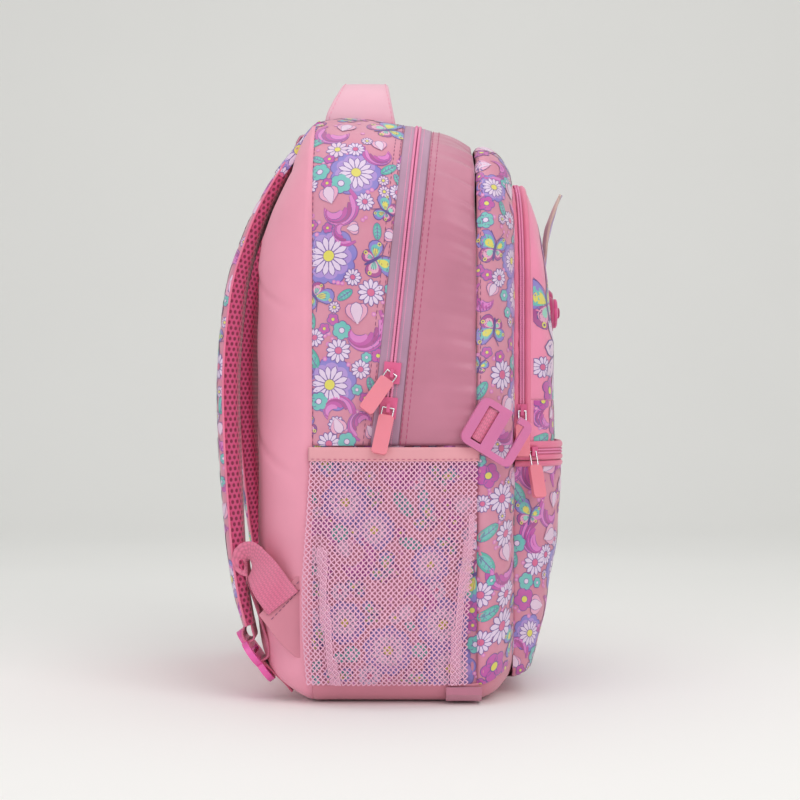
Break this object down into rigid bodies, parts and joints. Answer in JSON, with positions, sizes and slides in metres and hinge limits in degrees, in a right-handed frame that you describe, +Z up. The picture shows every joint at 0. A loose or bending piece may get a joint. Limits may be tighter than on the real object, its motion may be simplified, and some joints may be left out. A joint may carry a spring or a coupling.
{
  "type": "school backpack",
  "caption": "Upright child's backpack with arched main zip, domed front pocket, lower zip pocket, mesh side pockets, padded straps, grab handle and hook buckles.",
  "frame": {"origin": "on the floor under the base, on the centre plane, just in front of the main zip's foot", "axes": "+X to the wearer's right, +Y to the wearer's back with the straps, -Y the pocket front, +Z up"},
  "size_m": [0.326, 0.2619, 0.4579],
  "materials": {
    "print_fabric": "printed woven polyester",
    "plain_fabric": "plain satin-finish nylon",
    "back_fabric": "plain matt polyester over padding",
    "foam": "closed-cell foam",
    "lining": "thin woven lining",
    "board": "stiff sheet",
    "zip_tape": "woven zip tape",
    "zip_coil": "moulded coil",
    "slider": "painted die-cast metal",
    "wire": "bright wire",
    "tag": "soft moulded rubber",
    "mesh": "open net",
    "binding": "folded elastic tape",
    "webbing": "cross-ribbed woven webbing",
    "airmesh": "printed outer over pink air mesh and foam",
    "buckle": "pearl moulded plastic",
    "flower_plastic": "moulded plastic",
    "felt": "stuffed felt",
    "applique": "layered glitter felt"
  },
  "bodies": {
    "bag": {"rear_gusset": "print_fabric", "rear_zip_tape": "zip_tape", "rear_zip_coil": "zip_coil", "front_panel_lower": "print_fabric", "side_panel_left": "print_fabric", "side_panel_right": "print_fabric", "base_panel": "plain_fabric", "back_panel": "back_fabric", "back_foam": "foam", "back_lining": "lining", "base_board": "board", "divider": "lining", "lower_pocket": "print_fabric", "pocket_welts": "plain_fabric", "pocket_coils": "zip_coil", "mesh_pocket_left": "mesh", "mesh_pocket_right": "mesh", "pocket_binding_left": "binding", "pocket_binding_right": "binding", "grab_handle": "plain_fabric", "strap_yoke": "print_fabric", "wing_tab_left": "plain_fabric", "wing_tab_right": "plain_fabric", "base_loops": "webbing", "front_fold": "plain_fabric", "adjuster_webbing_left": "webbing", "adjuster_webbing_right": "webbing"},
    "front": {"front_zip_coil": "zip_coil", "front_zip_tape": "zip_tape", "front_gusset": "plain_fabric", "front_panel_upper": "print_fabric", "arch_gusset": "plain_fabric", "arch_coil_rear": "zip_coil", "hook_tabs": "webbing", "arch_fold": "print_fabric"},
    "arch_panel": {"arch_coil_face": "zip_coil", "arch_face": "plain_fabric", "flower_applique": "applique"},
    "leaf": {"leaf_flap": "felt"},
    "upper_zip_slider": {"upper_slider": "slider"},
    "upper_puller": {"upper_ring": "wire", "upper_tag": "tag"},
    "lower_zip_slider": {"lower_slider": "slider"},
    "lower_puller": {"lower_ring": "wire", "lower_tag": "tag"},
    "arch_zip_slider": {"arch_slider": "slider"},
    "arch_puller": {"arch_ring": "wire", "arch_tag": "tag"},
    "pocket_zip_slider": {"pocket_slider": "slider"},
    "pocket_puller": {"pocket_ring": "wire", "pocket_tag": "tag"},
    "shoulder_strap_left": {"strap_left": "airmesh"},
    "shoulder_strap_right": {"strap_right": "airmesh"},
    "ladder_lock_left": {"flower_lock_left": "flower_plastic", "webbing_tail_left": "webbing"},
    "ladder_lock_right": {"flower_lock_right": "flower_plastic", "webbing_tail_right": "webbing"},
    "hook_left": {"hook_buckle_left": "buckle"},
    "hook_right": {"hook_buckle_right": "buckle"}
  },
  "joints": [
    {"name": "front_open", "type": "hinge", "parent": "bag", "child": "front", "pos_m": [0, -0.028, 0.1823], "axis": [1, 0, 0], "range_deg": [0, 12], "deforming": ["front_fold"]},
    {"name": "arch_open", "type": "hinge", "parent": "front", "child": "arch_panel", "pos_m": [0, -0.0885, 0.20028], "axis": [1, 0, 0], "range_deg": [0, 13], "deforming": ["arch_fold"]},
    {"name": "leaf_flex", "type": "hinge", "parent": "arch_panel", "child": "leaf", "pos_m": [0, -0.1175, 0.3225], "axis": [1, 0, 0], "range_deg": [0, 25], "stiffness_Nm_per_rad": 0.02},
    {"name": "upper_zip", "type": "slide", "parent": "bag", "child": "upper_zip_slider", "axis": [0, -0.1052, 0.9944], "range_m": [0, 0.09]},
    {"name": "upper_pull", "type": "hinge", "parent": "upper_zip_slider", "child": "upper_puller", "pos_m": [-0.1461, 0.0056, 0.233], "axis": [0, 0.8192, 0.5736], "range_deg": [0, 80]},
    {"name": "lower_zip", "type": "slide", "parent": "bag", "child": "lower_zip_slider", "axis": [0, -0.1052, 0.9944], "range_m": [-0.009, 0.006]},
    {"name": "lower_pull", "type": "hinge", "parent": "lower_zip_slider", "child": "lower_puller", "pos_m": [-0.1461, 0.0082, 0.2085], "axis": [0, 0.9781, 0.2079], "range_deg": [0, 80]},
    {"name": "arch_zip", "type": "slide", "parent": "front", "child": "arch_zip_slider", "axis": [0, 0, 1], "range_m": [0, 0.085]},
    {"name": "arch_pull", "type": "hinge", "parent": "arch_zip_slider", "child": "arch_puller", "pos_m": [-0.1039, -0.0885, 0.206], "axis": [0, 1, 0], "range_deg": [0, 80]},
    {"name": "pocket_zip", "type": "hinge", "parent": "bag", "child": "pocket_zip_slider", "pos_m": [-0.062, -0.077, 0.1768], "axis": [0, 0, 1], "range_deg": [0, 64]},
    {"name": "pocket_pull", "type": "hinge", "parent": "pocket_zip_slider", "child": "pocket_puller", "pos_m": [-0.10484, -0.09608, 0.1768], "axis": [-0.4067, 0.9135, 0], "range_deg": [0, 80]},
    {"name": "strap_left_swing", "type": "hinge", "parent": "bag", "child": "shoulder_strap_left", "pos_m": [0, 0.0785, 0.3905], "axis": [1, 0, 0], "range_deg": [0, 14], "deforming": ["adjuster_webbing_left"]},
    {"name": "lock_left_tilt", "type": "hinge", "parent": "shoulder_strap_left", "child": "ladder_lock_left", "pos_m": [0, 0.1125, 0.047], "axis": [1, 0, 0], "range_deg": [0, 8]},
    {"name": "hook_left_swing", "type": "hinge", "parent": "front", "child": "hook_left", "pos_m": [-0.1472, -0.059, 0.1965], "axis": [-0.0806, 0.5087, -0.8572], "range_deg": [0, 10]},
    {"name": "strap_right_swing", "type": "hinge", "parent": "bag", "child": "shoulder_strap_right", "pos_m": [0, 0.0785, 0.3905], "axis": [1, 0, 0], "range_deg": [0, 14], "deforming": ["adjuster_webbing_right"]},
    {"name": "lock_right_tilt", "type": "hinge", "parent": "shoulder_strap_right", "child": "ladder_lock_right", "pos_m": [0, 0.1125, 0.047], "axis": [1, 0, 0], "range_deg": [0, 8]},
    {"name": "hook_right_swing", "type": "hinge", "parent": "front", "child": "hook_right", "pos_m": [0.1472, -0.059, 0.1965], "axis": [0.0806, 0.5087, -0.8572], "range_deg": [-10, 0]}
  ]
}
